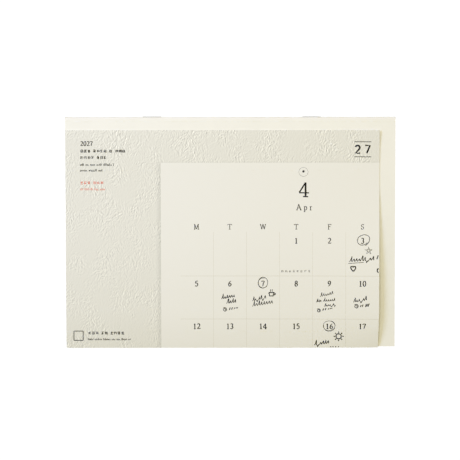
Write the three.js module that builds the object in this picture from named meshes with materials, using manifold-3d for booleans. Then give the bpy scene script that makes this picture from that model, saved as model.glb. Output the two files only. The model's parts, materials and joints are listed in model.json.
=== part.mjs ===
// A folded wall calendar: nested folded sheets stitched through the fold with two wire
// staples, and a loose printed title sheet laid on the cover.
// Millimetres. X runs along the fold, the fold lies on the +Y side, and +Z is up.
// The calendar lies closed on its back cover, with its front cover up.

import * as THREE from "three";
import { mergeVertices } from "three/addons/utils/BufferGeometryUtils.js";
import Module from "manifold-3d";

// The folded calendar
const pageWidth = 210; // along the fold
const foldedHeight = 148; // from the ridge of the fold to the free edge
const innerSheetCount = 6; // folded sheets inside the cover, two leaves each
const innerPaper = 0.15; // thickness of an inner sheet
const coverPaper = 0.22; // thickness of the cover
const sheetGap = 0.04; // air between one sheet and the next
const foldSegments = 20; // facets round half a turn of a fold

// The pin hole, drilled through every leaf
const pinHoleDiameter = 3;
const pinHoleInset = 8; // from the free edge to the centre of the hole
const pinHoleSegments = 20;

// The wire staples
const wireWidth = 0.5; // flat wire, its wide face against the paper
const wireThickness = 0.3;
const wireClearance = 0.05; // between the wire and the paper that it runs through
const crownLength = 12; // outside the fold, between the middles of the legs
const clinchLength = 4.8; // of each bent leg inside the fold, from the middle of the leg
const crownSink = 0.1; // how far the crown is pressed into the cover
const wireBend = 0.45; // radius of the wire's corners, at its middle
const bendSteps = 4; // facets round each corner
const wireSides = 10;
const stapleSpacing = 101.6; // between the middles of the two staples
const stapleShift = 1; // the pair sits this far to the right of the middle

// The turning leaves
const turnGap = 0.06; // between a leaf and the stitched folds that it turns round

// The title sheet
const titleWidth = 200;
const titleHeight = 140.8;
const titlePaper = 0.15;
const titleTopInset = 8.15; // from the ridge of the fold to its top edge
const titleLeftInset = 0; // from the left edge of the cover
const bowLift = 1.6; // how high its lower part bows off the cover
const waveLift = 3.6; // how high its right edge rises there
const waveWidth = 70; // how far in from the right edge the sheet rises above the bow
const riseStart = 0.18; // where it leaves the cover, as a share of the way down
const riseEnd = 0.74; // where it is highest
const curlStart = 0.82; // where it curls down again
const curlEndShare = 0.14; // how much of its height is left at the bottom edge
const cornerLift = 1.1; // how high the top right corner stands
const cornerDown = 38; // how far down its edge the lifted corner runs
const cornerAcross = 40; // how far in along the top
const flatColumns = 4;
const waveColumns = 14;
const waveRows = 40;

// What follows from them
const innerFoldRadius = wireWidth / 2 + 2 * wireClearance; // leaves room for the clinched legs
const sheets = nestedSheets();
const cover = sheets[sheets.length - 1];
const coverFoldRadius = cover.outer;
const crownY = coverFoldRadius + wireThickness / 2 - crownSink; // the crown's middle, from the fold's axis
const stitchRadius = crownY + wireThickness / 2 + wireClearance; // holds the folds and both staples
const turnRadius = stitchRadius + turnGap; // nothing that turns comes nearer the axis
const freeEdgeY = coverFoldRadius - foldedHeight;
const pinHoleY = freeEdgeY + pinHoleInset;
const titleTopY = coverFoldRadius - titleTopInset;
const titleLeftX = -pageWidth / 2 + titleLeftInset;
const titleFloorZ = coverFoldRadius + sheetGap;

const wasm = await Module();
wasm.setup();

const coverCard = { color: 0xf0ecdf, roughness: 0.85, metalness: 0 };
const pagePaper = { color: 0xf4f0e2, roughness: 0.9, metalness: 0 };
const stapleWire = { color: 0x9a988c, roughness: 0.35, metalness: 1 };
const titlePrint = { color: 0xe6e3d8, roughness: 0.75, metalness: 0 };

// The sheets from the innermost to the cover, as the radii of their folds' inner and outer faces.
function nestedSheets() {
  const list = [];
  let radius = innerFoldRadius;
  for (let number = innerSheetCount; number >= 1; number -= 1) {
    list.push({ number, inner: radius, outer: radius + innerPaper });
    radius += innerPaper + sheetGap;
  }
  list.push({ number: 0, inner: radius, outer: radius + coverPaper });
  return list;
}

// How far from the fold's axis, along Y, a level meets a circle round that axis.
function reach(radius, level) {
  return Math.sqrt(radius * radius - level * level);
}

// An outline drawn in Y and Z, carried along the whole width of the page.
function alongWidth(outline, curveSegments) {
  const geometry = new THREE.ExtrudeGeometry(outline, {
    depth: pageWidth,
    bevelEnabled: false,
    curveSegments,
  });
  const turn = new THREE.Matrix4().makeBasis(
    new THREE.Vector3(0, 1, 0),
    new THREE.Vector3(0, 0, 1),
    new THREE.Vector3(1, 0, 0),
  );
  geometry.applyMatrix4(turn);
  return geometry.translate(-pageWidth / 2, 0, 0);
}

function toSolid(geometry) {
  const bare = geometry.clone();
  bare.deleteAttribute("normal");
  bare.deleteAttribute("uv");
  const merged = mergeVertices(bare, 1e-4);
  return new wasm.Manifold(
    new wasm.Mesh({
      numProp: 3,
      vertProperties: new Float32Array(merged.attributes.position.array),
      triVerts: new Uint32Array(merged.index.array),
    }),
  );
}

function toGeometry(solid) {
  const { vertProperties, triVerts } = solid.getMesh();
  const geometry = new THREE.BufferGeometry();
  geometry.setAttribute("position", new THREE.BufferAttribute(vertProperties, 3));
  geometry.setIndex(new THREE.BufferAttribute(triVerts, 1));
  geometry.computeVertexNormals();
  return geometry;
}

function piece(name, geometry, finish) {
  const mesh = new THREE.Mesh(geometry, new THREE.MeshStandardMaterial(finish));
  mesh.name = name;
  return mesh;
}

// The drill that makes the pin hole, longer than the calendar is thick.
function pinDrill() {
  const length = 4 * coverFoldRadius;
  const drill = new THREE.CylinderGeometry(
    pinHoleDiameter / 2,
    pinHoleDiameter / 2,
    length,
    pinHoleSegments,
  );
  drill.rotateX(Math.PI / 2);
  drill.translate(0, pinHoleY, 0);
  return toSolid(drill);
}

// One flat leaf of a sheet, above the fold's axis (side 1) or below it (side -1). Its edge
// by the fold is cut on the turning circle, so it clears the stitched folds at every angle.
function leaf(sheet, side, drill) {
  const nearLevel = side * sheet.inner;
  const farLevel = side * sheet.outer;
  const outline = new THREE.Shape([
    new THREE.Vector2(freeEdgeY, nearLevel),
    new THREE.Vector2(-reach(turnRadius, nearLevel), nearLevel),
    new THREE.Vector2(-reach(turnRadius, farLevel), farLevel),
    new THREE.Vector2(freeEdgeY, farLevel),
  ]);
  return toGeometry(toSolid(alongWidth(outline, 1)).subtract(drill));
}

// The folded middle of a sheet: half a turn of paper with a short flat on each side, ending
// on the stitch circle. The staples' legs run through it in round holes, and the crown lies
// in a groove pressed into the cover.
function fold(sheet, wireRoom) {
  const outerFlat = -reach(stitchRadius, sheet.outer);
  const innerFlat = -reach(stitchRadius, sheet.inner);
  const quarter = Math.PI / 2;
  const outline = new THREE.Shape();
  outline.moveTo(outerFlat, -sheet.outer);
  outline.lineTo(0, -sheet.outer);
  outline.absarc(0, 0, sheet.outer, -quarter, quarter, false);
  outline.lineTo(outerFlat, sheet.outer);
  outline.lineTo(innerFlat, sheet.inner);
  outline.lineTo(0, sheet.inner);
  outline.absarc(0, 0, sheet.inner, quarter, -quarter, true);
  outline.lineTo(innerFlat, -sheet.inner);
  outline.closePath();
  let solid = toSolid(alongWidth(outline, foldSegments));
  for (const room of wireRoom) {
    solid = solid.subtract(room);
  }
  return toGeometry(solid);
}

// The middle line of a staple: clinched leg, leg, crown, leg, clinched leg, with bent corners.
function stapleRoute(middleX) {
  const left = middleX - crownLength / 2;
  const right = middleX + crownLength / 2;
  const corners = [
    new THREE.Vector3(left + clinchLength, 0, 0),
    new THREE.Vector3(left, 0, 0),
    new THREE.Vector3(left, crownY, 0),
    new THREE.Vector3(right, crownY, 0),
    new THREE.Vector3(right, 0, 0),
    new THREE.Vector3(right - clinchLength, 0, 0),
  ];
  const route = new THREE.CurvePath();
  let from = corners[0];
  for (let i = 1; i < corners.length - 1; i += 1) {
    const corner = corners[i];
    const before = corner.clone().add(stepTowards(corner, corners[i - 1], wireBend));
    const after = corner.clone().add(stepTowards(corner, corners[i + 1], wireBend));
    route.add(new THREE.LineCurve3(from, before));
    route.add(new THREE.QuadraticBezierCurve3(before, corner, after));
    from = after;
  }
  route.add(new THREE.LineCurve3(from, corners[corners.length - 1]));
  return route.getPoints(bendSteps);
}

function stepTowards(from, to, length) {
  return to.clone().sub(from).setLength(length);
}

// Flattened wire along points that all lie at one height, with closed flat ends. Its wide
// face stands upright, so it bends the thin way.
function wire(points, thickness, width) {
  const positions = [];
  const indices = [];
  points.forEach((point, i) => {
    const before = points[Math.max(i - 1, 0)];
    const after = points[Math.min(i + 1, points.length - 1)];
    const inward = stepTowards(before, point, 1);
    const outward = stepTowards(point, after, 1);
    const along = i === 0 ? outward : i === points.length - 1 ? inward : inward.clone().add(outward);
    along.normalize();
    const lean = i === 0 || i === points.length - 1 ? 1 : along.dot(outward);
    const across = new THREE.Vector3(-along.y, along.x, 0).divideScalar(lean);
    for (let side = 0; side < wireSides; side += 1) {
      const angle = (2 * Math.PI * (side + 0.5)) / wireSides;
      const place = point.clone().addScaledVector(across, (thickness / 2) * Math.cos(angle));
      positions.push(place.x, place.y, place.z + (width / 2) * Math.sin(angle));
    }
  });
  for (let ring = 0; ring < points.length - 1; ring += 1) {
    for (let side = 0; side < wireSides; side += 1) {
      const a = ring * wireSides + side;
      const b = ring * wireSides + ((side + 1) % wireSides);
      indices.push(a, b, a + wireSides, b, b + wireSides, a + wireSides);
    }
  }
  const last = (points.length - 1) * wireSides;
  for (let side = 1; side < wireSides - 1; side += 1) {
    indices.push(0, side + 1, side);
    indices.push(last, last + side, last + side + 1);
  }
  const geometry = new THREE.BufferGeometry();
  geometry.setAttribute("position", new THREE.Float32BufferAttribute(positions, 3));
  geometry.setIndex(indices);
  geometry.computeVertexNormals();
  return geometry;
}

// A rise that starts and ends level, from 0 to 1.
function smooth(share) {
  const held = Math.min(Math.max(share, 0), 1);
  return held * held * (3 - 2 * held);
}

// How much of its full height the bowed sheet has, a share of the way down: it rises slowly,
// then curls down to its bottom edge with an even bend.
function bow(down) {
  const curl = Math.max(0, (down - curlStart) / (1 - curlStart));
  return smooth((down - riseStart) / (riseEnd - riseStart)) - (1 - curlEndShare) * curl * curl;
}

// How high the title sheet stands above the cover at a place on it, measured in from its
// right edge and down from its top edge.
function sheetLift(inward, downward) {
  const towardsEdge = Math.max(0, 1 - inward / waveWidth);
  const fullLift = bowLift + (waveLift - bowLift) * towardsEdge * towardsEdge;
  const corner = Math.max(0, 1 - inward / cornerAcross - downward / cornerDown);
  return fullLift * bow(downward / titleHeight) + cornerLift * corner * corner;
}

// How far down from its top edge each row of the bent sheet lies. Paper doesn't stretch, so
// where it rises or falls it reaches that much less far down.
function rowDepths(inward) {
  const step = titleHeight / waveRows;
  const depths = [0];
  for (let row = 1; row <= waveRows; row += 1) {
    const rise = sheetLift(inward, row * step) - sheetLift(inward, (row - 1) * step);
    depths.push(depths[row - 1] + Math.sqrt(step * step - rise * rise));
  }
  return depths;
}

// The title sheet: flat on the cover along its top, bowed below, with a wavy right edge.
function titleSheet() {
  const columns = [];
  for (let i = 0; i < flatColumns; i += 1) {
    columns.push(titleWidth - ((titleWidth - waveWidth) * i) / flatColumns);
  }
  for (let i = 0; i <= waveColumns; i += 1) {
    columns.push(waveWidth * (1 - i / waveColumns));
  }
  const depths = columns.map(rowDepths);
  const positions = [];
  for (const face of [0, titlePaper]) {
    for (let row = 0; row <= waveRows; row += 1) {
      const downward = (titleHeight * row) / waveRows;
      columns.forEach((inward, column) => {
        const z = titleFloorZ + sheetLift(inward, downward) + face;
        positions.push(titleLeftX + titleWidth - inward, titleTopY - depths[column][row], z);
      });
    }
  }
  return closedSheet(positions, columns.length, waveRows + 1);
}

// Closes a lower and an upper grid of points, rows running towards -Y, into one thin solid.
function closedSheet(positions, across, down) {
  const indices = [];
  const upper = across * down;
  const quad = (a, b, c, d) => indices.push(a, b, c, a, c, d);
  for (let row = 0; row < down - 1; row += 1) {
    for (let column = 0; column < across - 1; column += 1) {
      const a = row * across + column;
      quad(a, a + 1, a + across + 1, a + across);
      quad(upper + a, upper + a + across, upper + a + across + 1, upper + a + 1);
    }
    const left = row * across;
    const right = left + across - 1;
    quad(left, left + across, upper + left + across, upper + left);
    quad(right, upper + right, upper + right + across, right + across);
  }
  for (let column = 0; column < across - 1; column += 1) {
    const bottom = (down - 1) * across + column;
    quad(column, upper + column, upper + column + 1, column + 1);
    quad(bottom, bottom + 1, upper + bottom + 1, upper + bottom);
  }
  const geometry = new THREE.BufferGeometry();
  geometry.setAttribute("position", new THREE.Float32BufferAttribute(positions, 3));
  geometry.setIndex(indices);
  geometry.computeVertexNormals();
  return geometry;
}

const calendar = new THREE.Group();
const stapleMiddles = [stapleShift - stapleSpacing / 2, stapleShift + stapleSpacing / 2];
const stapleRoutes = stapleMiddles.map(stapleRoute);
const wireRoom = stapleRoutes.map((route) =>
  toSolid(wire(route, wireThickness + 2 * wireClearance, wireWidth + 2 * wireClearance)),
);
const drill = pinDrill();

for (const sheet of sheets) {
  const isCover = sheet === cover;
  const finish = isCover ? coverCard : pagePaper;
  const names = isCover
    ? ["front_cover", "cover_fold", "back_cover"]
    : [`front_leaf_${sheet.number}`, `sheet_fold_${sheet.number}`, `back_leaf_${sheet.number}`];
  calendar.add(piece(names[0], leaf(sheet, 1, drill), finish));
  calendar.add(piece(names[1], fold(sheet, wireRoom), finish));
  calendar.add(piece(names[2], leaf(sheet, -1, drill), finish));
}

calendar.add(piece("staple_left", wire(stapleRoutes[0], wireThickness, wireWidth), stapleWire));
calendar.add(piece("staple_right", wire(stapleRoutes[1], wireThickness, wireWidth), stapleWire));
calendar.add(piece("title_sheet", titleSheet(), titlePrint));

// The fold's axis is the group's own origin. The group is set down so that the calendar
// stands on Z = 0 with the middle of its footprint at X = 0, Y = 0.
const footprint = new THREE.Box3().setFromObject(calendar);
calendar.position.set(0, -(footprint.min.y + footprint.max.y) / 2, coverFoldRadius);

export default calendar;
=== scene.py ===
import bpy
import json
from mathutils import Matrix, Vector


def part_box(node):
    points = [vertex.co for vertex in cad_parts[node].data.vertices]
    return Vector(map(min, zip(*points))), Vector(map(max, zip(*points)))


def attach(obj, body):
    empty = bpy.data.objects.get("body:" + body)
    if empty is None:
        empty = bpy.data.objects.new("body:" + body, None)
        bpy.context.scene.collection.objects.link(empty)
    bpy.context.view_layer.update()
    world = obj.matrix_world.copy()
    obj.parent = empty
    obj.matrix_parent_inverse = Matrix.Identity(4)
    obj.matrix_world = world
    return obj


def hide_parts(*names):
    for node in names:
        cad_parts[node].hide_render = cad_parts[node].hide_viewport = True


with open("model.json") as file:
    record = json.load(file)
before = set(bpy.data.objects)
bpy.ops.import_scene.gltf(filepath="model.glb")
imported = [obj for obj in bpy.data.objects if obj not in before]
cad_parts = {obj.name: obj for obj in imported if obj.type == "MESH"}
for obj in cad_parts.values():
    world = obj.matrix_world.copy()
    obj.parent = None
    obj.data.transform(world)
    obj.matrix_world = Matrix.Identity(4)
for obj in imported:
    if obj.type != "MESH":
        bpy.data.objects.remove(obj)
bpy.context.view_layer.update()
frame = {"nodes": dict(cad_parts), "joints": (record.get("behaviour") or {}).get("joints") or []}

import calendar
import json
import math
import random

import bmesh
import bpy
from mathutils import Matrix, Vector

mm = 0.001
nodes = frame["nodes"]
foldAxis = Vector(next(j for j in frame["joints"] if j["name"] == "front_cover_turn")["pos_m"])


# small helpers

def srgb(hexColour):
    # sRGB hex to the linear values that Blender works in
    values = [int(hexColour[i:i + 2], 16) / 255 for i in (1, 3, 5)]
    return [v / 12.92 if v <= 0.04045 else ((v + 0.055) / 1.055) ** 2.4 for v in values] + [1.0]


def newMaterial(name):
    material = bpy.data.materials.new(name)
    material.use_nodes = True
    return material, material.node_tree


def setUp(node, settings):
    # a node's own properties, and what its sockets get: a fixed value or another node's output
    for key, value in settings.items():
        if isinstance(key, str) and hasattr(node, key):
            setattr(node, key, value)
        elif isinstance(value, bpy.types.NodeSocket):
            node.id_data.links.new(value, node.inputs[key])
        else:
            node.inputs[key].default_value = value


def add(tree, kind, settings):
    node = tree.nodes.new(f"ShaderNode{kind}")
    setUp(node, settings)
    return node


def mapped(tree, value, low, high, toLow=0.0, toHigh=1.0, **settings):
    # moves a value from one range to another
    ends = {"From Min": low, "From Max": high, "To Min": toLow, "To Max": toHigh}
    return add(tree, "MapRange", {"Value": value, **ends, **settings}).outputs["Result"]


def noise(tree, place, size, **settings):
    # soft noise, its spots about this big in the units of its place
    return add(tree, "TexNoise", {"Vector": place, "Scale": 1 / size, **settings}).outputs


def maths(tree, operation, *values, kind="Math"):
    return add(tree, kind, {"operation": operation, **dict(enumerate(values))}).outputs[0]


def vectors(tree, operation, *values):
    return maths(tree, operation, *values, kind="VectorMath")


def objectPlace(tree):
    return add(tree, "TexCoord", {}).outputs["Object"]


def shade(tree, settings):
    setUp(tree.nodes["Principled BSDF"], settings)


def newPiece(name, points, faces, material, body):
    mesh = bpy.data.meshes.new(name)
    mesh.from_pydata(points, [], faces)
    mesh.materials.append(material)
    shell = bmesh.new()
    shell.from_mesh(mesh)
    bmesh.ops.recalc_face_normals(shell, faces=shell.faces)
    shell.to_mesh(mesh)
    shell.free()
    piece = bpy.data.objects.new(name, mesh)
    bpy.context.scene.collection.objects.link(piece)
    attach(piece, body)
    return piece


def tubeFaces(rings, around, start=0):
    # the sides of a tube whose points come in rings of this many
    faces = []
    for ring in range(start, start + (rings - 1) * around, around):
        for i in range(around):
            a, b = ring + i, ring + (i + 1) % around
            faces.append((a, b, b + around, a + around))
    return faces


def smoothed(piece, sharpFrom):
    # smooth shading, with the edges of this many degrees and more kept sharp
    piece.data.shade_smooth()
    piece.data.set_sharp_from_angle(angle=math.radians(sharpFrom))


# camera, at the photograph's angle

camera = {
    "distance": 3.0,
    "tilt": 9.04,  # degrees off straight above, towards the fold
    "yaw": 0.31, "roll": -0.08,
    "target": (-0.24 * mm, foldAxis.y - 71.1 * mm, foldAxis.z),
    "focalPixels": 4700, "framePixels": 460,
}


def makeCamera():
    tilt, yaw, roll = (math.radians(camera[key]) for key in ("tilt", "yaw", "roll"))
    back = Vector((math.sin(yaw) * math.cos(tilt), math.sin(tilt), math.cos(yaw) * math.cos(tilt)))
    level = Vector((0, 1, 0)).cross(back).normalized()
    upright = back.cross(level)
    right = level * math.cos(roll) + upright * math.sin(roll)
    up = back.cross(right)
    data = bpy.data.cameras.new("camera")
    data.sensor_width = 36
    data.lens = camera["focalPixels"] / camera["framePixels"] * data.sensor_width
    data.clip_start = 0.1
    data.clip_end = 20
    eye = bpy.data.objects.new("camera", data)
    eye.matrix_world = Matrix.Translation(Vector(camera["target"]) + back * camera["distance"]) @ Matrix(
        (right, up, back)).transposed().to_4x4()
    bpy.context.scene.collection.objects.link(eye)
    bpy.context.scene.camera = eye


makeCamera()
print("camera placed")


# studio: a pale floor and two soft lights, a cool one from the left and a plain one above

studio = {
    "floorSize": 6.0,
    "floorGap": 0.05,  # mm under the back cover, so that the two faces don't flicker
    "floorOpening": 2,  # mm inside the back cover's edge, where the hidden part of the floor is left out
    "floorGlow": 1.02,  # an evenly lit backdrop, on which no shadow shows
    "floorColour": "#404040",  # what it reflects is small beside its glow
    "floorRoughness": 0.95, "floorShine": 0.1,
    "walls": (0.52, 0.5, 0.44),  # what the pale walls and the floor give, level and from below
    "ceiling": (0.343, 0.3, 0.061),  # a warm ceiling
    "ceilingFrom": (0.15, 0.55),  # sines of the elevations between which one turns into the other
    "lights": [
        {"name": "window_light", "azimuth": 150, "elevation": 40, "distance": 1.25, "size": 0.58,
         "power": 9.4, "colour": (0.465, 0.58, 1.0)},
        {"name": "overhead_light", "azimuth": 92, "elevation": 60, "distance": 1.25, "size": 0.58,
         "power": 7.4, "colour": (1.0, 0.943, 0.962)},
    ],
}


def makeStudio():
    scene = bpy.context.scene
    scene.view_settings.view_transform = "Standard"
    material, tree = newMaterial("matt_paper_backdrop")  # seamless paper: no gloss, evenly lit to white
    shade(tree, {"Base Color": srgb(studio["floorColour"]), "Roughness": studio["floorRoughness"],
                 "Specular IOR Level": studio["floorShine"], "Emission Color": (1, 1, 1, 1),
                 "Emission Strength": studio["floorGlow"]})
    half = studio["floorSize"] / 2
    level = -studio["floorGap"] * mm
    inset = studio["floorOpening"] * mm
    low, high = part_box("back_cover")
    points = []
    for left, right, near, far in ((-half, half, -half, half),
                                   (low.x + inset, high.x - inset, low.y + inset, high.y - inset)):
        points += [(left, near, level), (right, near, level), (right, far, level), (left, far, level)]
    mesh = bpy.data.meshes.new("floor")
    mesh.from_pydata(points, [], tubeFaces(2, 4))
    mesh.materials.append(material)
    floor = bpy.data.objects.new("floor", mesh)
    scene.collection.objects.link(floor)
    floor.visible_diffuse = False  # its glow stays off the paper and the wire
    floor.visible_glossy = False

    for lamp in studio["lights"]:
        azimuth, elevation = math.radians(lamp["azimuth"]), math.radians(lamp["elevation"])
        towards = Vector((math.cos(azimuth) * math.cos(elevation), math.sin(azimuth) * math.cos(elevation),
                          math.sin(elevation)))
        light = bpy.data.lights.new(lamp["name"], "AREA")
        light.shape = "SQUARE"
        light.size = lamp["size"]
        light.energy = lamp["power"]
        light.color = lamp["colour"]
        softbox = bpy.data.objects.new(lamp["name"], light)
        softbox.location = towards * lamp["distance"]
        softbox.rotation_mode = "QUATERNION"
        softbox.rotation_quaternion = towards.to_track_quat("Z", "Y")
        scene.collection.objects.link(softbox)

    world = bpy.data.worlds.new("room")
    world.use_nodes = True
    tree = world.node_tree
    apart = add(tree, "SeparateXYZ", {"Vector": add(tree, "TexCoord", {}).outputs["Generated"]})
    share = mapped(tree, apart.outputs["Z"], *studio["ceilingFrom"], interpolation_type="SMOOTHSTEP")
    room = add(tree, "Mix", {"data_type": "RGBA", "Factor": share, "A": (*studio["walls"], 1),
                             "B": (*studio["ceiling"], 1)})
    setUp(tree.nodes["Background"], {"Color": room.outputs["Result"]})
    scene.world = world


makeStudio()
print("studio lit")


# materials

def addFibres(tree, place, size, depth, strength=0.5):
    # paper's fibre felt: fine uneven noise that only just roughens the surface
    felt = noise(tree, place, size * mm, Detail=3.0, Roughness=0.6)["Fac"]
    bump = add(tree, "Bump", {"Strength": strength, "Distance": depth * mm, "Height": felt})
    shade(tree, {"Normal": bump.outputs["Normal"]})


noiseRange = (0.3, 0.7)  # between which most of the soft noise lies


def addTint(tree, place, colour, size, change):
    # the same colour, a little lighter and darker in soft patches
    cloud = noise(tree, place, size * mm, Detail=4.0, Roughness=0.55)["Fac"]
    amount = mapped(tree, cloud, *noiseRange, 1 - change, 1 + change)
    tint = vectors(tree, "MULTIPLY", srgb(colour)[:3], amount)
    shade(tree, {"Base Color": tint})


coverCard = {
    "colour": "#f8f7ef",
    "patch": 9,  # mm
    "patchChange": 0.012,
    "fibre": 0.35,  # mm, about twice as coarse as real fibre, so that it shows
    "fibreDepth": 0.02, "roughness": 0.82,
}

pagePaper = {
    "colour": "#f9f6ec",
    "patch": 14,
    "patchChange": 0.008,
    "fibre": 0.28,  # mm, drawn coarser than real
    "fibreDepth": 0.01, "roughness": 0.72,
}


def paperMaterial(name, paper):
    # uncoated paper stock: matt, warm, with a faint cloudiness and no gloss
    material, tree = newMaterial(name)
    place = objectPlace(tree)
    addTint(tree, place, paper["colour"], paper["patch"], paper["patchChange"])
    addFibres(tree, place, paper["fibre"], paper["fibreDepth"])
    shade(tree, {"Roughness": paper["roughness"], "IOR": 1.45, "Specular IOR Level": 0.25})
    return material


coverMaterial = paperMaterial("uncoated_cream_card", coverCard)
pageMaterial = paperMaterial("smooth_writing_paper", pagePaper)

# painted shade over the fold's ridge: tones that darken the card between these two places
ridgeShade = {
    "from": -0.3,  # mm past the fold's axis
    "to": 1.75,
    "tones": [(0, "#ffffff"), (0.55, "#f7f5f3"), (0.75, "#f6f4f2"), (1, "#fefefd")],
}


def creaseMaterial():
    # the same card folded, with painted shade along the ridge: a touch darker over the rounded ridge, where
    # the lights would make it brighter
    material = paperMaterial("folded_cream_card_painted_ridge_shade", coverCard)
    tree = material.node_tree
    plain = tree.nodes["Principled BSDF"].inputs["Base Color"].links[0].from_socket
    apart = add(tree, "SeparateXYZ", {"Vector": objectPlace(tree)})
    low, high = (foldAxis.y + ridgeShade[key] * mm for key in ("from", "to"))
    tones = add(tree, "ValToRGB", {"Fac": mapped(tree, apart.outputs["Y"], low, high)})
    stops = tones.color_ramp.elements
    while len(stops) < len(ridgeShade["tones"]):
        stops.new(0.5)
    for stop, (position, colour) in zip(stops, ridgeShade["tones"]):
        stop.position = position
        stop.color = srgb(colour)
    shadedRidgeColour = vectors(tree, "MULTIPLY", plain, tones.outputs["Color"])
    shade(tree, {"Base Color": shadedRidgeColour})
    return material


foldMaterial = creaseMaterial()

staple = {
    "colour": "#98968b",
    "roughness": (0.26, 0.44),
    "drawLine": 0.05,  # mm between the fine lines that wire drawing leaves
    "drawLength": 25,  # mm along one of them
    "drawDepth": 0.01,
}


def stapleMaterial():
    # galvanised steel wire, drawn: bright grey, with fine lines along it
    material, tree = newMaterial("drawn_galvanised_wire")
    along, across = (1 / (staple[key] * mm) for key in ("drawLength", "drawLine"))
    stretch = add(tree, "Mapping", {"Vector": objectPlace(tree), "Scale": (along, across, across)})
    lines = noise(tree, stretch.outputs["Vector"], 1.0)["Fac"]
    bump = add(tree, "Bump", {"Strength": 0.3, "Distance": staple["drawDepth"] * mm, "Height": lines})
    shade(tree, {"Base Color": srgb(staple["colour"]), "Metallic": 1.0, "Normal": bump.outputs["Normal"],
                 "Roughness": mapped(tree, lines, 0, 1, *staple["roughness"])})
    return material


wireMaterial = stapleMaterial()

inks = {
    "dark": "#1d1c1a",
    "soft": "#6f6d66",  # small print, thinner ink
    "coral": "#e5806a",
    "pen": "#161513",
    "rule": "#d6d2c2",  # the pale lines between the days
}
inkFilm = {
    "patch": 0.5,  # mm, the scale of the paper's fibres
    "patchChange": 0.12,
    "roughness": 0.6,
}


def inkMaterial(kind):
    # offset ink sunk into paper: matt, its density uneven on the scale of the fibres
    material, tree = newMaterial(f"offset_ink_{kind}")
    addTint(tree, objectPlace(tree), inks[kind], inkFilm["patch"], inkFilm["patchChange"])
    shade(tree, {"Roughness": inkFilm["roughness"], "Specular IOR Level": 0.2})
    return material


inkMaterials = {kind: inkMaterial(kind) for kind in inks}

titleSheet = {
    "width": 200, "height": 140.8,
    "paper": 0.15,
    "bowLift": 1.6,  # mm that the sheet rises in its bow
    "waveLift": 3.6,  # mm that its right edge rises there
    "waveWidth": 70,  # mm over which the one turns into the other
    "riseStart": 0.18,  # shares of the way down at which the bow begins
    "riseEnd": 0.74,  # and is highest
    "curlStart": 0.82,  # and bends down again
    "curlEndShare": 0.14,  # of the bow's height that is left at the lower edge
    "cornerLift": 1.1,  # mm that the upper right corner stands up
    "cornerDown": 38, "cornerAcross": 40,
    "tuck": 0.7,  # mm that the lower right corner draws in where it bends down
    "tuckStart": 0.83,  # as a share of the way down
    "tuckAcross": 9,  # mm in from the right edge
    "cell": 1.0,  # mm between points of the mesh
    "printFrom": (0.2, 0.55),  # mm from the trimmed corner to the corner that the print is laid out from
    "wallColour": "#eae9e0",
    "panelColour": "#f3f2eb",
    "backColour": "#f3f0e6",
    "combCell": 1.4,  # mm along one fine stroke in the printed wall
    "combWaves": 0.9,  # strokes side by side in that length
    "combDepth": 0.27,
    "combSlant": 0.9,  # how strictly they keep to their direction
    "combTurn": 1.7,  # radians that their direction wanders over
    "turnRange": (0.25, 0.75),  # of the noise that turns them
    "turnSize": 8,  # mm
    "strokeWidth": 0.8,  # mm across the softer strokes under them
    "strokeLength": 2.6, "strokeLean": 0.35,
    "driftSize": 26,  # mm over which the strokes change direction
    "driftReach": 11,
    "patchSize": 17,  # mm across its rough and smooth patches
    "patchRange": (0.4, 0.6),  # of the noise that parts them
    "softDepth": 0.55,
    "reliefStep": 0.35,  # mm between the two heights that make its light and shade
    "relief": 1.25,
    "reliefQuiet": 0.15,  # of that in the smooth patches
    "reliefTop": (1.5, 70),  # the top is rougher, down to this many mm
    "panelX": 60.7, "panelY": 20.95,  # the printed panel's corner, from the sheet's top left
    "panelShade": (3.4, 1.3),  # mm that its printed shadow reaches, on its left and above it
    "panelShadeDepth": (0.1, 0.05),
    "panelCrisp": 0.12,  # mm over which its edge turns from wall to panel
    "roughness": 0.62,
    "fibre": 0.3, "fibreDepth": 0.012,
}
titleLow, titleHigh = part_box("title_sheet")


def smooth(share):
    held = min(max(share, 0), 1)
    return held * held * (3 - 2 * held)


def bowShares(down):
    # how far through its rise and through its curl the sheet is there
    s = titleSheet
    share = down / s["height"]
    rise = (share - s["riseStart"]) / (s["riseEnd"] - s["riseStart"])
    return min(max(rise, 0), 1), max(0, share - s["curlStart"]) / (1 - s["curlStart"])


def sheetLift(across, down):
    # height of the sheet above where it lies flat, from places in mm on the sheet
    s = titleSheet
    rise, curl = bowShares(down)
    corner = max(0, 1 - (s["width"] - across) / s["cornerAcross"] - down / s["cornerDown"]) ** 2
    bow = smooth(rise) - (1 - s["curlEndShare"]) * curl ** 2
    return fullLift(across) * bow + s["cornerLift"] * corner


def fullLift(across):
    s = titleSheet
    towardsEdge = max(0, 1 - (s["width"] - across) / s["waveWidth"]) ** 2
    return s["bowLift"] + (s["waveLift"] - s["bowLift"]) * towardsEdge


def drawnIn(across, down):
    # how far the bow draws the paper up the cover, since it bends and doesn't stretch:
    # half the sum of its slopes squared, first of the rise and then of the curl
    s = titleSheet
    rise, curl = bowShares(down)
    slopes = (12 * rise ** 3 - 18 * rise ** 4 + 7.2 * rise ** 5) / (s["riseEnd"] - s["riseStart"])
    slopes += 4 / 3 * (1 - s["curlEndShare"]) ** 2 * curl ** 3 / (1 - s["curlStart"])
    return fullLift(across) ** 2 * slopes / (2 * s["height"])


def tuckedIn(across, down):
    # how far the lower right corner's edge draws in where the corner bends down
    s = titleSheet
    towardsEdge = max(0, 1 - (s["width"] - across) / s["tuckAcross"])
    towardsFoot = max(0, (down / s["height"] - s["tuckStart"]) / (1 - s["tuckStart"]))
    return s["tuck"] * towardsEdge ** 1.5 * towardsFoot


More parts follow.
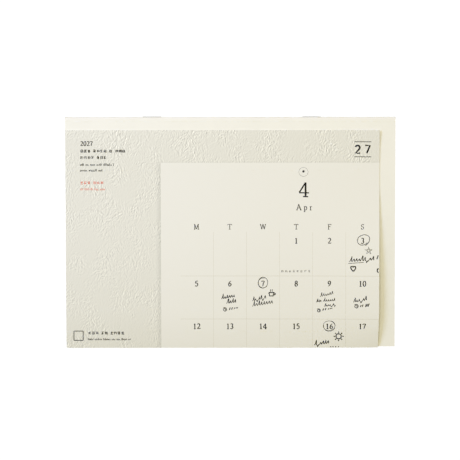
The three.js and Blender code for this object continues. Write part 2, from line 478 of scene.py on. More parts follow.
def onSheet(across, down, above=0.0):
    x = titleLow.x + (across - tuckedIn(across, down)) * mm
    z = titleLow.z + (titleSheet["paper"] + sheetLift(across, down) + above) * mm
    return Vector((x, titleHigh.y - (down - drawnIn(across, down)) * mm, z))


def onPrint(x, y, above):
    # a place of the print, whose layout starts a little inside the trimmed corner
    return onSheet(x + titleSheet["printFrom"][0], y + titleSheet["printFrom"][1], above)


def titleMaterial():
    # matt printed paper: a picture of a trowelled wall with a plain panel on it, all in flat ink
    s = titleSheet
    material, tree = newMaterial("matt_offset_print")
    place = objectPlace(tree)
    perMm = add(tree, "Mapping", {"Vector": place, "Scale": (1 / mm, 1 / mm, 0)}).outputs["Vector"]
    drift = noise(tree, perMm, s["driftSize"], Detail=1.0)["Color"]
    centred = vectors(tree, "SUBTRACT", drift, (0.5, 0.5, 0.5))
    pushed = vectors(tree, "MULTIPLY_ADD", centred, (s["driftReach"],) * 3, perMm)

    def wallHeight(shift):
        moved = vectors(tree, "ADD", pushed, shift)
        drawn = add(tree, "Mapping", {
            "vector_type": "TEXTURE", "Vector": moved, "Rotation": (0, 0, s["strokeLean"]),
            "Scale": (s["strokeWidth"], s["strokeLength"], 1)})
        return noise(tree, drawn.outputs["Vector"], 1.0, Detail=2.5, Roughness=0.55, Distortion=0.35)["Fac"]

    # the wall's light and shade: soft strokes with fine ones over them, rough in patches and near the top
    step = s["reliefStep"]
    soft = maths(tree, "SUBTRACT", wallHeight((0, 0, 0)), wallHeight((-step, step, 0)))
    wander = noise(tree, perMm, s["turnSize"], Detail=1.0)["Fac"]
    lean, turn = -s["strokeLean"], s["combTurn"]
    angle = mapped(tree, wander, *s["turnRange"], lean - turn / 2, lean + turn / 2)
    # its socket 4 is the first of its two for a direction
    comb = add(tree, "TexGabor", {
        "Vector": perMm, "Scale": 1 / s["combCell"], "Frequency": s["combWaves"],
        "Anisotropy": s["combSlant"], 4: angle})
    fine = mapped(tree, comb.outputs["Value"], 0, 1, -s["combDepth"], s["combDepth"], clamp=False)
    slope = maths(tree, "MULTIPLY_ADD", soft, s["softDepth"], fine)
    patches = noise(tree, perMm, s["patchSize"])["Fac"]
    amount = mapped(tree, patches, *s["patchRange"], s["reliefQuiet"] * s["relief"], s["relief"])
    apart = add(tree, "SeparateXYZ", {"Vector": perMm})
    across, up = apart.outputs["X"], apart.outputs["Y"]
    rougher, topReach = s["reliefTop"]
    top = titleHigh.y / mm
    cut = maths(tree, "MULTIPLY", amount, mapped(tree, up, top - topReach, top, 1.0, rougher))
    relief = maths(tree, "MULTIPLY_ADD", slope, cut, 1.0)
    wall = vectors(tree, "MULTIPLY", srgb(s["wallColour"])[:3], relief)

    def ramp(source, low, high, shape="SMOOTHSTEP"):
        return mapped(tree, source, low, high, interpolation_type=shape)

    def product(a, b):
        return maths(tree, "MULTIPLY", a, b)

    # the panel, with its printed shadow on the wall
    edgeX = titleLow.x / mm + s["panelX"]
    edgeY = top - s["panelY"]
    crisp = s["panelCrisp"]
    reachX, reachY = s["panelShade"]
    deepX, deepY = s["panelShadeDepth"]
    inside = product(ramp(across, edgeX - crisp, edgeX + crisp), ramp(up, edgeY + crisp, edgeY - crisp))
    beside = product(ramp(across, edgeX - reachX, edgeX, "LINEAR"), ramp(up, edgeY + reachY, edgeY - reachX))
    over = product(ramp(across, edgeX - reachX, edgeX), ramp(up, edgeY + reachY, edgeY))
    kept = product(mapped(tree, beside, 0, 1, 1, 1 - deepX), mapped(tree, over, 0, 1, 1, 1 - deepY))
    darkWall = vectors(tree, "MULTIPLY", wall, kept)
    panel = srgb(s["panelColour"])
    picture = add(tree, "Mix", {"data_type": "RGBA", "Factor": inside, "A": darkWall, "B": panel})
    addFibres(tree, place, s["fibre"], s["fibreDepth"])
    shade(tree, {"Base Color": picture.outputs["Result"], "Roughness": s["roughness"],
                 "Specular IOR Level": 0.3})
    return material


print("materials mixed")


# the title sheet, wavy along its right edge

def makeTitleSheet():
    s = titleSheet
    printed = titleMaterial()
    plainBack = paperMaterial("unprinted_paper_back", {**pagePaper, "colour": s["backColour"]})
    columns = round(s["width"] / s["cell"])
    rows = round(s["height"] / s["cell"])
    points, faces, sides = [], [], []
    for above in (-s["paper"], 0):
        for row in range(rows + 1):
            for column in range(columns + 1):
                points.append(onSheet(s["width"] * column / columns, s["height"] * row / rows, above))
    wide = columns + 1
    top = wide * (rows + 1)
    for row in range(rows):
        for column in range(columns):
            a = row * wide + column
            b = top + a
            faces += [(b, b + wide, b + wide + 1, b + 1), (a, a + 1, a + wide + 1, a + wide)]
            sides += [0, 1]
    rim = [*range(columns), *range(columns, top - 1, wide), *range(top - 1, top - wide, -1)]
    rim += [*range(top - wide, 0, -wide), 0]
    for a, b in zip(rim, rim[1:]):
        faces.append((a, top + a, top + b, b))
        sides.append(1)
    piece = newPiece("printed_title_sheet", points, faces, printed, "title_sheet")
    piece.data.materials.append(plainBack)
    piece.data.polygons.foreach_set("material_index", sides)
    smoothed(piece, 40)
    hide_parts("title_sheet")


makeTitleSheet()
print("title sheet laid")


# print: pen strokes for figures and letters, each one a thin closed ribbon of ink

pen = {
    "nib": math.radians(22),  # the broad nib's angle, which makes upright strokes thick and level ones thin
    "thick": 0.145,  # of a figure's height
    "thin": 0.085,
    "fullFrom": 0.3,  # sine of the angle to the nib from which a stroke thickens
    "above": 0.012,  # mm that ink stands on the paper
    "below": 0.02,  # mm that it reaches in
}


def arc(cx, cy, rx, ry, start, end, steps=16):
    angles = [math.radians(start + (end - start) * i / steps) for i in range(steps + 1)]
    return [(cx + rx * math.cos(a), cy + ry * math.sin(a)) for a in angles]


def foot(x, y=0.025, half=0.16):
    return [(x - half, y), (x + half, y)]


# strokes of each figure and letter: lines of points, on a height of 1
glyphs = {
    "0": [arc(0.31, 0.5, 0.23, 0.47, 90, 450, 28)],
    "1": [[(0.32, 0.97), (0.32, 0.03)], [(0.14, 0.82), (0.32, 0.95)], foot(0.32, half=0.18)],
    "2": [arc(0.30, 0.71, 0.2, 0.26, 160, -25, 16) + [(0.38, 0.42), (0.08, 0.05)],
          [(0.08, 0.06), (0.56, 0.06)], [(0.56, 0.06), (0.57, 0.17)]],
    "3": [arc(0.29, 0.74, 0.18, 0.22, 150, -80, 14), arc(0.28, 0.27, 0.22, 0.24, 85, -150, 16)],
    "4": [[(0.46, 0.97), (0.04, 0.30)], [(0.03, 0.28), (0.69, 0.28)], [(0.46, 0.97), (0.46, 0.03)],
          foot(0.46, half=0.17)],
    "5": [[(0.16, 0.94), (0.52, 0.94)], [(0.17, 0.94), (0.14, 0.55)],
          arc(0.28, 0.31, 0.23, 0.28, 128, -145, 18)],
    "6": [arc(0.32, 0.29, 0.21, 0.26, 90, 450, 22),
          [(0.52, 0.95), (0.36, 0.86), (0.2, 0.66), (0.12, 0.45), (0.11, 0.29)]],
    "7": [[(0.08, 0.93), (0.56, 0.93)], [(0.56, 0.93), (0.34, 0.45), (0.27, 0.03)],
          [(0.09, 0.93), (0.08, 0.8)]],
    "8": [arc(0.31, 0.74, 0.17, 0.22, 90, 450, 20), arc(0.31, 0.27, 0.21, 0.25, 90, 450, 22)],
    "9": [arc(0.30, 0.69, 0.21, 0.27, 90, 450, 22),
          [(0.51, 0.69), (0.5, 0.5), (0.4, 0.28), (0.24, 0.12), (0.1, 0.04)]],
    "M": [[(0.17, 0.97), (0.15, 0.03)], [(0.17, 0.97), (0.48, 0.06)], [(0.48, 0.06), (0.8, 0.97)],
          [(0.8, 0.97), (0.83, 0.03)], foot(0.15, half=0.13), foot(0.83, half=0.15),
          foot(0.12, 0.965, 0.1), foot(0.85, 0.965, 0.1)],
    "T": [[(0.05, 0.95), (0.75, 0.95)], [(0.4, 0.95), (0.4, 0.03)], foot(0.4),
          [(0.05, 0.95), (0.05, 0.8)], [(0.75, 0.95), (0.75, 0.8)]],
    "W": [[(0.1, 0.97), (0.33, 0.04)], [(0.33, 0.04), (0.55, 0.9)], [(0.55, 0.97), (0.79, 0.04)],
          [(0.79, 0.04), (1.01, 0.97)], foot(0.1, 0.965, 0.12), foot(0.55, 0.965, 0.1),
          foot(1.01, 0.965, 0.1)],
    "F": [[(0.18, 0.97), (0.18, 0.03)], [(0.06, 0.95), (0.62, 0.95)], [(0.18, 0.52), (0.46, 0.52)],
          foot(0.18), [(0.62, 0.95), (0.62, 0.8)], [(0.46, 0.58), (0.46, 0.44)]],
    "S": [arc(0.31, 0.73, 0.2, 0.23, 35, 235, 14) + arc(0.29, 0.27, 0.22, 0.24, 55, -150, 16),
          [(0.48, 0.97), (0.48, 0.8)], [(0.08, 0.24), (0.08, 0.03)]],
    "A": [[(0.12, 0.03), (0.42, 0.97)], [(0.42, 0.97), (0.74, 0.03)], [(0.23, 0.36), (0.62, 0.36)],
          foot(0.12, half=0.11), foot(0.75, half=0.13)],
    "p": [[(0.17, 0.62), (0.17, -0.28)], arc(0.34, 0.32, 0.19, 0.3, 130, -130, 18),
          foot(0.17, -0.27, 0.13), [(0.05, 0.6), (0.17, 0.62)]],
    "r": [[(0.17, 0.62), (0.17, 0.03)], [(0.19, 0.44), (0.3, 0.58), (0.42, 0.58)],
          foot(0.17, half=0.13), [(0.05, 0.6), (0.17, 0.62)]],
}
glyphWidth = 0.62  # on the same height, apart from these
glyphWidths = {"4": 0.70, "M": 0.98, "T": 0.80, "W": 1.10, "F": 0.68, "A": 0.86, "p": 0.64, "r": 0.50}

# small print that spells nothing, in shares of its height
block = {
    "half": 0.44,  # of a cell, above and below its middle
    "uprights": (1, 2, 2),  # how many, picked at random
    "uprightAt": (0.12, 0.4), "uprightPitch": 0.42,
    "shorter": 0.25,  # at most, at either end
    "levels": (2, 3, 3),
    "levelAt": (-0.42, -0.25), "levelPitch": 0.3,
    "levelFrom": (0.03, 0.2), "levelLength": (0.5, 0.75), "levelWidth": 0.7,
    "gap": 0.55,
}
tick = {
    "word": (3, 8),  # ticks in a word
    "tall": (0.62, 0.62, 0.62, 1.0), "lean": 0.06,
    "barChance": 0.55, "barUp": (0.05, 0.34, 0.6), "barLength": 0.3, "barWidth": 0.8,
    "pitch": 0.42, "wordPitch": 0.95,
}
squiggle = {  # a pen's handwriting, likewise
    "pitch": 0.82,
    "first": 1.7,  # how tall it begins
    "reaches": (0.9, 1.1, 0.7, 1.2, 0.8, 1.6, -0.7),
    "curls": (0.08, 0.12, 0.02),
    "lean": 0.35,
    "weights": (0.8, 1.15),  # of an upstroke and a downstroke
    "steps": 8,
}
spiral = {"from": 0.3, "turn": 15, "steps": 28}


class Ink:
    # gathers ribbons of ink, then becomes one mesh; place(x, y, above) says where a point of the page is
    def __init__(self, place):
        self.place = place
        self.kind = "dark"
        self.points = []
        self.faces = []
        self.kinds = []

    def ribbon(self, line, widths, closed=False):
        count = len(line)
        start = len(self.points)
        for i, (x, y) in enumerate(line):
            before = line[i - 1] if i > 0 else (line[-2] if closed else line[0])
            after = line[i + 1] if i < count - 1 else (line[1] if closed else line[-1])
            dx, dy = after[0] - before[0], after[1] - before[1]
            reach = widths[i] / 2 / (math.hypot(dx, dy) or 1)
            top, bottom = pen["above"], -pen["below"]
            for side, above in ((1, top), (-1, top), (-1, bottom), (1, bottom)):
                self.points.append(self.place(x - dy * reach * side, y + dx * reach * side, above))
        last = start + 4 * (count - 1)
        faces = tubeFaces(count, 4, start)
        faces += [(start, start + 3, start + 2, start + 1), (last, last + 1, last + 2, last + 3)]
        self.faces += faces
        self.kinds += [self.kind] * len(faces)

    def stroke(self, line, width, closed=False):
        self.ribbon(line, [width] * len(line), closed)

    def rule(self, x0, y0, x1, y1, width, step=4.0):
        parts = max(1, round(math.hypot(x1 - x0, y1 - y0) / step))
        shares = (i / parts for i in range(parts + 1))
        self.stroke([(x0 + (x1 - x0) * t, y0 + (y1 - y0) * t) for t in shares], width)

    def glyph(self, letter, x, baseline, height, weight=1.0, skip=1):
        # skip=2 draws a curve with every second point, for the print inside
        for line in glyphs[letter]:
            if skip > 1 and len(line) > 4:
                line = line[:-1:skip] + line[-1:]
            placed = [(x + px * height, baseline - py * height) for px, py in line]
            widths = []
            for i in range(len(line)):
                a, b = line[max(i - 1, 0)], line[min(i + 1, len(line) - 1)]
                turn = math.atan2(b[1] - a[1], b[0] - a[0]) - pen["nib"]
                fullness = max(0, abs(math.sin(turn)) - pen["fullFrom"]) / (1 - pen["fullFrom"])
                widths.append(height * weight * (pen["thin"] + (pen["thick"] - pen["thin"]) * fullness))
            self.ribbon(placed, widths)

    def text(self, letters, centre, middle, height, spacing=0.06, weight=1.0, skip=1):
        widths = [glyphWidths.get(c, glyphWidth) for c in letters]
        total = sum(widths) + spacing * (len(letters) - 1)
        x = centre - total * height / 2
        for c, wide in zip(letters, widths):
            self.glyph(c, x, middle + height / 2, height, weight, skip)
            x += (wide + spacing) * height

    def blocks(self, left, middle, size, groups, width, seed, spacing=1.0):
        # close-set ticks in square cells, the grey of small print without any writing
        b = block
        chance = random.Random(seed)
        low, high = middle + size * b["half"], middle - size * b["half"]
        x = left
        for cells in groups:
            for _ in range(cells):
                for lane in range(chance.choice(b["uprights"])):
                    up = x + size * (chance.uniform(*b["uprightAt"]) + b["uprightPitch"] * lane)
                    start = low - size * chance.uniform(0, b["shorter"])
                    end = high + size * chance.uniform(0, b["shorter"])
                    self.stroke([(up, start), (up, end)], width)
                for lane in range(chance.choice(b["levels"])):
                    y = middle + size * (chance.uniform(*b["levelAt"]) + b["levelPitch"] * lane)
                    start = x + size * chance.uniform(*b["levelFrom"])
                    end = start + size * chance.uniform(*b["levelLength"])
                    self.stroke([(start, y), (end, y)], width * b["levelWidth"])
                x += size * spacing
            x += size * b["gap"]

    def ticks(self, left, right, middle, height, width, seed):
        # a line of upright ticks in words, which stands for the smallest print
        t = tick
        chance = random.Random(seed)
        base = middle + height / 2
        x = left
        word = chance.randint(*t["word"])
        while x < right:
            tall = height * chance.choice(t["tall"])
            lean = height * chance.uniform(-t["lean"], t["lean"])
            self.stroke([(x, base), (x + lean, base - tall)], width)
            if chance.random() < t["barChance"]:
                y = base - height * chance.choice(t["barUp"])
                self.stroke([(x, y), (x + height * t["barLength"], y)], width * t["barWidth"])
            word -= 1
            x += height * (t["pitch"] if word else t["wordPitch"])
            word = word or chance.randint(*t["word"])

    def scribble(self, x0, y0, x1, y1, height, width, seed):
        # quick ups and downs of a pen that spell nothing, leaning to the right
        q = squiggle
        chance = random.Random(seed)
        length = math.hypot(x1 - x0, y1 - y0)
        along = ((x1 - x0) / length, (y1 - y0) / length)
        loops = max(2, round(length / (q["pitch"] * height)))
        pitch = length / loops
        steps = q["steps"]
        upstroke, downstroke = q["weights"]
        line, widths = [], []
        for loop in range(loops):
            reach = height * (chance.choice(q["reaches"]) if loop else q["first"])
            curl = height * chance.choice(q["curls"])
            for i in range(steps + (loop == loops - 1)):
                turn = 2 * math.pi * i / steps
                up = reach * (1 - math.cos(turn)) / 2
                travel = pitch * (loop + i / steps) + curl * math.sin(turn) + q["lean"] * up
                line.append((x0 + along[0] * travel + along[1] * up, y0 + along[1] * travel - along[0] * up))
                widths.append(width * (downstroke if i > steps / 2 else upstroke))
        self.ribbon(line, widths)

    def spiral(self, x, y, size, width):
        start, steps = spiral["from"], spiral["steps"]
        line = []
        for share in (start + (1 - start) * i / steps for i in range(steps + 1)):
            angle = spiral["turn"] * share
            line.append((x + size * share * math.cos(angle), y - size * share * math.sin(angle)))
        self.stroke(line, width)

    def dashes(self, places, width, lean):
        # short slanting marks: x, y of the foot and how tall
        for x, y, tall in places:
            self.stroke([(x, y), (x + lean * tall, y - tall)], width)

    def piece(self, name, body="title_sheet", slot="title_paper"):
        used = sorted(set(self.kinds))
        made = newPiece(name, self.points, self.faces, inkMaterials[used[0]], body)
        for kind in used[1:]:
            made.data.materials.append(inkMaterials[kind])
        made.data.polygons.foreach_set("material_index", [used.index(kind) for kind in self.kinds])
        return made


year = 2027  # of the printed calendar, inside and out

month = {
    "columns": [83.2, 104.4, 125.6, 146.8, 168.0, 189.1],  # mm, the middles of the printed days
    "initials": "MTWTFS", "initialsDown": 61.6, "initialsHeight": 3.4,
    "figureHeight": 3.6,
    "rows": [70.6, 98.2, 125.95],
    "firstRow": {3: 1, 4: 2, 5: 3},
    "columnLines": [94.0, 115.1, 136.2, 157.3, 178.4],
    "rowLines": [93.3, 121.2],
    "linesFrom": (72.9, 65.1),
    "lineWidth": (0.13, 0.17),
    "number": (151.7, 37.7, 9.6),
    "name": (152.0, 49.0, 3.9),
    "lineEnds": (0.5, 0.9),  # mm that they stop short of the sheet's right and lower edges
    "pin": (151.4, 26.4),
    "pinHead": (0.35, 0.4, 0.78),  # mm above the ring's middle, its radius and the line that draws it
    "pinRing": (2.9, 0.16),
    "label": (137.2, 90.3, 1.7, [8], 0.28, 5, 1.45),  # left, middle, size, cells, line, seed, spacing
}


def printMonth():
    m = month
    ink = Ink(onPrint)
    for letter, x in zip(m["initials"], m["columns"]):
        ink.text(letter, x, m["initialsDown"], m["initialsHeight"], weight=0.9)
    for row, down in enumerate(m["rows"]):
        for column, x in enumerate(m["columns"]):
            day = m["firstRow"].get(column) if row == 0 else 7 * row - 2 + column
            if day:
                ink.text(str(day), x, down, m["figureHeight"], weight=1.3)
    ink.text("4", *m["number"], weight=0.86)
    ink.text("Apr", *m["name"], spacing=0.34, weight=0.9)
    x, y = m["pin"]
    up, radius, width = m["pinHead"]
    ink.stroke(arc(x, y - up, radius, radius, 0, 360, 10), width)
    ink.kind = "soft"
    radius, width = m["pinRing"]
    ink.stroke(arc(x, y, radius, radius, 0, 360, 40), width, closed=True)
    ink.blocks(*m["label"])
    ink.kind = "rule"
    across, down = m["lineWidth"]
    besideX, besideY = m["lineEnds"]
    for x in m["columnLines"]:
        ink.rule(x, m["linesFrom"][1], x, titleSheet["height"] - besideY, across)
    for y in m["rowLines"]:
        ink.rule(m["linesFrom"][0], y, titleSheet["width"] - besideX, y, down)
    ink.piece("month_print")


printMonth()

heading = {
    "year": (13.35, 8.1, 3.0),
    "blocks": [  # left, middle, size, cells in each group, line width, ink
        (9.2, 13.0, 2.3, (3, 4, 1, 3), 0.47, "dark"),
        (9.2, 17.15, 2.3, (4, 3), 0.41, "dark"),
        (9.2, 33.4, 2.3, (3, 3), 0.4, "coral"),
        (13.8, 130.5, 2.3, (3, 2, 4), 0.44, "dark"),
    ],
    "ticks": [  # left, right, middle, height, line width, ink
        (9.3, 30.6, 21.6, 1.6, 0.33, "dark"),
        (9.3, 24.0, 25.2, 1.6, 0.33, "dark"),
        (9.3, 24.8, 37.3, 1.6, 0.3, "coral"),
        (13.8, 41.0, 134.4, 1.4, 0.32, "dark"),
    ],
    "square": (4.6, 129.1, 10.5, 135.2),  # an outlined box
    "squareLine": 0.5,
    "corner": ("27", 189.1, 11.85, 5.3),
    "cornerPlaces": (-0.92, 0.26),  # of its two figures, in shares of their height
    "cornerLine": 1.1,
    "cornerRules": (183.7, 194.5, (7.0, 16.7), 0.42),
}
plainFigures = {  # even strokes, for the corner's number
    "2": [arc(0.3, 0.7, 0.26, 0.27, 165, -30, 16) + [(0.06, 0.03), (0.6, 0.03)]],
    "7": [[(0.04, 0.97), (0.6, 0.97), (0.22, 0.02)]],
}


def printHeading():
    h = heading
    ink = Ink(onPrint)
    x, y, height = h["year"]
    ink.text(str(year), x, y, height, weight=1.35)
    for left, middle, size, groups, width, kind in h["blocks"]:
        ink.kind = kind
        ink.blocks(left, middle, size, groups, width, round(middle * 10))
    for left, right, middle, height, width, kind in h["ticks"]:
        ink.kind = kind
        ink.ticks(left, right, middle, height, width, round(middle * 10))
    ink.kind = "dark"
    x0, y0, x1, y1 = h["square"]
    for a, b, c, d in ((x0, y0, x1, y0), (x1, y0, x1, y1), (x1, y1, x0, y1), (x0, y1, x0, y0)):
        ink.rule(a, b, c, d, h["squareLine"])
    figures, x, y, height = h["corner"]
    for figure, place in zip(figures, h["cornerPlaces"]):
        for line in plainFigures[figure]:
            placed = [(x + (place + px) * height, y + height * (0.5 - py)) for px, py in line]
            ink.stroke(placed, h["cornerLine"])
    x0, x1, levels, width = h["cornerRules"]
    for y in levels:
        ink.rule(x0, y, x1, y, width)
    ink.piece("heading_print")


printHeading()

# small drawings on a size of 1 about their middle: lines of points
drawings = {
    "star": [[(math.sin(math.radians(144 * i)), math.cos(math.radians(144 * i))) for i in range(6)]],
    "heart": [[(side * x, y) for x, y in arc(0.45, 0.4, 0.45, 0.45, 170, -40, 10) + [(0.5, -0.4), (0, -0.95)]]
              for side in (-1, 1)],
    "curl": [arc(0, 0, 0.8, 1, -90, -270, 12)],
    "cup": [[(-1, 0.5), (-0.75, -0.8), (0.55, -0.8), (0.8, 0.5), (-1, 0.5)],
            arc(0.95, 0, 0.45, 0.35, -110, 100, 8)],
    "steam": [[(x + 0.12 * math.sin(2.2 * i), 0.8 + 0.3 * i) for i in range(4)] for x in (-0.4, 0.25)],
    "sun": [arc(0, 0, 0.7, 0.7, 0, -360, 20)],
    "rays": [[(r * math.cos(a), r * math.sin(a)) for r in (0.95, 1.35)]
             for a in (math.radians(-45 * i) for i in range(8))],
}
notes = {
    "width": 0.58,  # of the spirals and dashes
    "words": [  # x0, y0, x1, y1, height, line width
        (180.6, 84.2, 196.4, 82.9, 2.1, 0.5),
        (99.0, 108.3, 107.6, 106.8, 1.9, 0.51),
        (102.3, 111.2, 108.3, 110.4, 1.8, 0.5),
        (118.9, 109.6, 127.4, 107.8, 1.6, 0.43),
        (118.8, 113.1, 131.8, 110.9, 2.0, 0.43),
        (162.2, 106.8, 170.4, 104.9, 1.6, 0.38),
        (159.5, 110.3, 162.8, 110.0, 1.3, 0.38),
        (164.0, 109.9, 171.6, 109.3, 1.5, 0.38),
        (164.8, 113.1, 172.0, 112.2, 1.2, 0.38),
        (183.4, 110.3, 191.8, 108.7, 1.7, 0.47),
        (158.4, 138.6, 167.8, 137.2, 2.0, 0.53),
    ],
    "firstSeed": 40,
    "spirals": [(101.2, 115.1, 1.4), (161.2, 115.7, 1.3), (185.2, 112.9, 1.5)],
    "spiralWidth": 0.7,  # of the dashes' width
    "dashes": [  # x, y, height
        (104.1, 115.4, 1.7), (105.5, 115.2, 1.6), (107.2, 114.6, 0.8), (108.3, 114.4, 0.8),
        (109.2, 114.3, 0.7), (163.8, 115.8, 1.6), (165.3, 115.5, 1.5), (167.3, 115.0, 0.7),
        (168.4, 114.8, 0.8), (169.5, 114.7, 0.7), (187.8, 113.3, 1.3), (189.0, 113.1, 1.4),
        (191.0, 113.2, 1.9), (191.8, 113.0, 1.7), (192.7, 113.0, 2.0), (198.2, 82.4, 2.6),
        (168.8, 139.9, 0.6), (170.3, 139.9, 0.7), (172.0, 139.9, 0.6), (173.8, 139.8, 0.6),
    ],
    "dashLean": 0.35,
    "underline": (180.0, 85.2, 190.0, 84.4, 0.3),
    "rings": [  # centre, radii, lean, start and end in degrees, how far the second turn strays, line width
        (189.5, 69.9, 4.0, 3.1, 38, 75, 470, 0.5, 0.38),
        (125.6, 97.6, 3.05, 3.4, 0, 40, 650, 0.2, 0.32),
        (167.9, 125.6, 3.7, 3.3, 8, -60, 560, 0.22, 0.27),
    ],
    "ringSteps": 60,
    "ringWobble": (0.03, 0.31, 0.27),  # how much, and how fast across and down
    "ringStrayFrom": 0.45,  # of the way round
    "drawings": [  # which, its middle, size and line width, and whether it closes on itself
        ("star", 193.0, 77.0, 2.3, 0.7, True),
        ("heart", 183.2, 88.6, 1.8, 0.7, False),
        ("curl", 199.4, 89.6, 1.2, 0.7, False),
        ("cup", 131.1, 104.9, 1.7, 0.7, False),
        ("steam", 131.1, 104.9, 1.7, 0.36, False),
        ("sun", 174.0, 132.6, 2.4, 0.7, True),
        ("rays", 174.0, 132.6, 2.4, 0.63, False),
    ],
}


def drawNotes():
    n = notes
    ink = Ink(onPrint)
    ink.kind = "pen"
    for i, (x0, y0, x1, y1, height, width) in enumerate(n["words"]):
        ink.scribble(x0, y0, x1, y1, height, width, n["firstSeed"] + i)
    for x, y, size in n["spirals"]:
        ink.spiral(x, y, size, n["width"] * n["spiralWidth"])
    ink.dashes(n["dashes"], n["width"], n["dashLean"])
    ink.rule(*n["underline"])
    steps = n["ringSteps"]
    wobble, paceX, paceY = n["ringWobble"]
    for cx, cy, rx, ry, lean, start, end, stray, width in n["rings"]:
        c, s = math.cos(math.radians(lean)), math.sin(math.radians(lean))
        line = []
        for i, (x, y) in enumerate(arc(0, 0, rx, ry, start, end, steps)):
            x *= 1 + wobble * math.sin(i * paceX)
            y *= 1 + wobble * math.cos(i * paceY)
            y += stray * ry * max(0, i / steps - n["ringStrayFrom"])
            line.append((cx + c * x + s * y, cy - s * x + c * y))
        ink.stroke(line, width)
    for kind, x, y, size, width, closed in n["drawings"]:
        for line in drawings[kind]:
            ink.stroke([(x + px * size, y - py * size) for px, py in line], width, closed)
    ink.piece("pen_notes")


drawNotes()
print("title sheet printed")


# the months inside, one on each opened spread: its upper half on the leaf above, its lower half below

spread = {
    "columns": 7, "pitch": 24.4, "margin": 14.3,
    "rows": 7, "rowPitch": 32.3, "rowsFrom": 51.8,
    "initials": "MTWTFSS", "initialsDown": 47.8, "initialsHeight": 3.8,
    "figureDown": 6.3,  # below the line above it
    "figureHeight": 4.0,
    "number": (105, 20.4, 10.9),
    "lineWidth": 0.15,
    "foldDown": (foldAxis.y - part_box("front_leaf_1")[0].y) / mm,  # mm from the top edge to the fold
    "foldMargin": 3.2,
    "footMargin": 18,
    "lineStep": 50,  # mm between the points of a line, since these sheets lie flat
}


def printHalf(number, leaf, body, slot, upper):
    s = spread
    low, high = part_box(leaf)
    fold = s["foldDown"]
    edges = [s["margin"] + s["pitch"] * column for column in range(s["columns"] + 1)]
    rows = [s["rowsFrom"] + s["rowPitch"] * row for row in range(s["rows"])]
    first, last = rows[0], fold - s["foldMargin"]
    if not upper:
        first, last = fold + s["foldMargin"], 2 * fold - s["footMargin"]

    def place(x, y, above):
        down, z = (fold - y, low.z - above * mm) if upper else (y - fold, high.z + above * mm)
        return Vector((low.x + x * mm, foldAxis.y - down * mm, z))

    ink = Ink(place)
    if upper:
        ink.text(str(number), *s["number"])
        for left, letter in zip(edges, s["initials"]):
            ink.text(letter, left + s["pitch"] / 2, s["initialsDown"], s["initialsHeight"], skip=2)
    for top, week in zip(rows, calendar.monthcalendar(year, number)):
        y = top + s["figureDown"]
        for left, day in zip(edges, week):
            if day and (y < fold) == upper:
                ink.text(str(day), left + s["pitch"] / 2, y, s["figureHeight"], skip=2)
    ink.kind = "rule"
    for x in edges:
        ink.rule(x, first, x, last, s["lineWidth"], s["lineStep"])
    for y in rows:
        if first <= y <= last:
            ink.rule(edges[0], y, edges[-1], y, s["lineWidth"], s["lineStep"])
    ink.piece(f"month_{number}_{'upper' if upper else 'lower'}_half", body, slot)


def printSpreads():
    leaves = [f"front_leaf_{i}" for i in range(1, 7)] + [f"back_leaf_{i}" for i in range(6, 0, -1)]
    for number, leaf in enumerate(leaves, start=1):
        printHalf(number, leaf, leaf, "page_paper", True)
        if number < 12:
            printHalf(number, leaves[number], leaves[number], "page_paper", False)
    printHalf(12, "back_cover", "stitched_back", "cover_card", False)


printSpreads()
print("months printed")


# the cover's fold, smooth, with the grooves that the staples press into it

coverFold = {
    "paper": 0.22,
    "seam": 0.015,  # mm between its flats and the leaves, measured from the axis
    "steps": 72,
    "wireRoom": 0.05,
    "grooveEase": 0.45,  # mm over which a groove's end runs out
    "easeStations": (-0.6, -0.3, 0, 0.3, 0.6),  # places across that, where the fold gets a row of points
}
wire = {
    "thickness": 0.3,
    "width": 0.5,  # its wide face against the paper
    "bend": 0.45,
    "bendSteps": 10,
    "sides": 16,
    "clinch": 4.8,
    "cutBevel": 0.05,
}


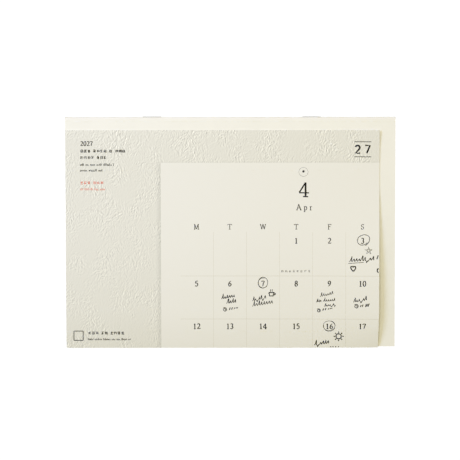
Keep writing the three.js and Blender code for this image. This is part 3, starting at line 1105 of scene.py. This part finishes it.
def makeCoverFold():
    c = coverFold
    low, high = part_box("cover_fold")
    outer = (high.z - low.z) / 2 / mm
    inner = outer - c["paper"]
    crowns = [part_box(name) for name in ("staple_left", "staple_right")]
    leafEdge = (foldAxis.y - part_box("front_cover")[1].y) / mm
    seam = math.hypot(leafEdge, outer) - c["seam"]
    deep, tall = (wire[key] / 2 + c["wireRoom"] for key in ("thickness", "width"))

    def pressed(x, angle):
        # how far the outer face is pushed in, in mm, at a place along the fold and round it
        depth = 0
        for crownLow, crownHigh in crowns:
            middle = (crownLow.x + crownHigh.x) / 2
            half = (crownHigh.x - crownLow.x) / 2 / mm
            centre = (crownHigh.y - foldAxis.y) / mm - wire["thickness"] / 2
            # the ray from the axis at this angle meets the groove's oval cross-section
            a = (math.cos(angle) / deep) ** 2 + (math.sin(angle) / tall) ** 2
            b = centre * math.cos(angle) / deep ** 2
            inside = b * b - a * ((centre / deep) ** 2 - 1)
            if inside > 0:
                share = smooth((half + c["grooveEase"] / 2 - abs(x - middle) / mm) / c["grooveEase"])
                depth = max(depth, share * (outer - (b - math.sqrt(inside)) / a))
        return depth

    stations = {low.x, high.x}
    for crownLow, crownHigh in crowns:
        for edge, side in ((crownLow.x, 1), (crownHigh.x, -1)):
            stations |= {edge + side * shift * c["grooveEase"] * mm for shift in c["easeStations"]}
    points = []
    for x in sorted(stations):
        flat = -math.sqrt(seam ** 2 - outer ** 2)
        ring = [(flat, -outer)]
        for i in range(c["steps"] + 1):
            angle = math.pi * (i / c["steps"] - 0.5)
            radius = outer - pressed(x, angle)
            ring.append((radius * math.cos(angle), radius * math.sin(angle)))
        ring.append((flat, outer))
        flat = -math.sqrt(seam ** 2 - inner ** 2)
        ring.append((flat, inner))
        for i in range(0, c["steps"] + 1, 2):
            angle = math.pi * (0.5 - i / c["steps"])
            ring.append((inner * math.cos(angle), inner * math.sin(angle)))
        ring.append((flat, -inner))
        points += [(x, foldAxis.y + y * mm, foldAxis.z + z * mm) for y, z in ring]
    around = len(ring)
    faces = tubeFaces(len(stations), around)
    outerCount = c["steps"] + 3
    for start in (0, (len(stations) - 1) * around):
        # each end is closed in strips between the outer and the inner line
        for i in range(outerCount - 1):
            nearest = [around - 1 - min(round(k / 2 + 0.25), around - outerCount - 1) for k in (i, i + 1)]
            face = [start + i, start + i + 1, start + nearest[1]]
            if nearest[0] != nearest[1]:
                face.append(start + nearest[0])
            faces.append(face)
    piece = newPiece("cover_fold_card", points, faces, foldMaterial, "stitched_back")
    smoothed(piece, 30)
    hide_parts("cover_fold")


def makeStaple(name):
    w = wire
    low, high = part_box(name)
    thin, wide = w["thickness"] / 2, w["width"] / 2
    left, right = low.x / mm + thin, high.x / mm - thin
    inside, crown = low.y / mm + thin, high.y / mm - thin
    corners = [Vector(corner) for corner in (
        (left + w["clinch"], inside), (left, inside), (left, crown),
        (right, crown), (right, inside), (right - w["clinch"], inside))]
    route = [corners[0]]
    for before, here, after in zip(corners, corners[1:], corners[2:]):
        start = here + (before - here).normalized() * w["bend"]
        end = here + (after - here).normalized() * w["bend"]
        for t in (k / w["bendSteps"] for k in range(w["bendSteps"] + 1)):
            route.append(start.lerp(here, t).lerp(here.lerp(end, t), t))
    route.append(corners[-1])
    bevel = w["cutBevel"]
    # the cut ends taper over the bevel
    starts, ends = (route[a] + (route[b] - route[a]).normalized() * bevel for a, b in ((0, 1), (-1, -2)))
    path = [(route[0], bevel)] + [(point, 0) for point in (starts, *route[1:-1], ends)] + [(route[-1], bevel)]
    sides = w["sides"]
    points = []
    for i, (centre, less) in enumerate(path):
        before, after = path[max(i - 1, 0)][0], path[min(i + 1, len(path) - 1)][0]
        along = (after - before).normalized()
        across = Vector((-along.y, along.x))
        for side in range(sides):
            angle = 2 * math.pi * side / sides
            x, y = centre + across * (thin - less) * math.cos(angle)
            points.append((x * mm, y * mm, foldAxis.z + (wide - less) * math.sin(angle) * mm))
    faces = tubeFaces(len(path), sides)
    faces += [tuple(range(sides)), tuple(range(len(points) - sides, len(points)))]
    piece = newPiece(f"{name}_wire", points, faces, wireMaterial, "stitched_back")
    smoothed(piece, 35)
    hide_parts(name)


makeCoverFold()
makeStaple("staple_left")
makeStaple("staple_right")
print("fold and staples dressed")


def dressLeaves():
    # the leaves keep the solids of the frame; each gets its paper
    for name in nodes:
        if name in ("cover_fold", "staple_left", "staple_right", "title_sheet"):
            continue
        card = "cover" in name
        leaf = nodes[name]
        leaf.data.materials.clear()
        leaf.data.materials.append(coverMaterial if card else pageMaterial)


dressLeaves()
print("leaves dressed")
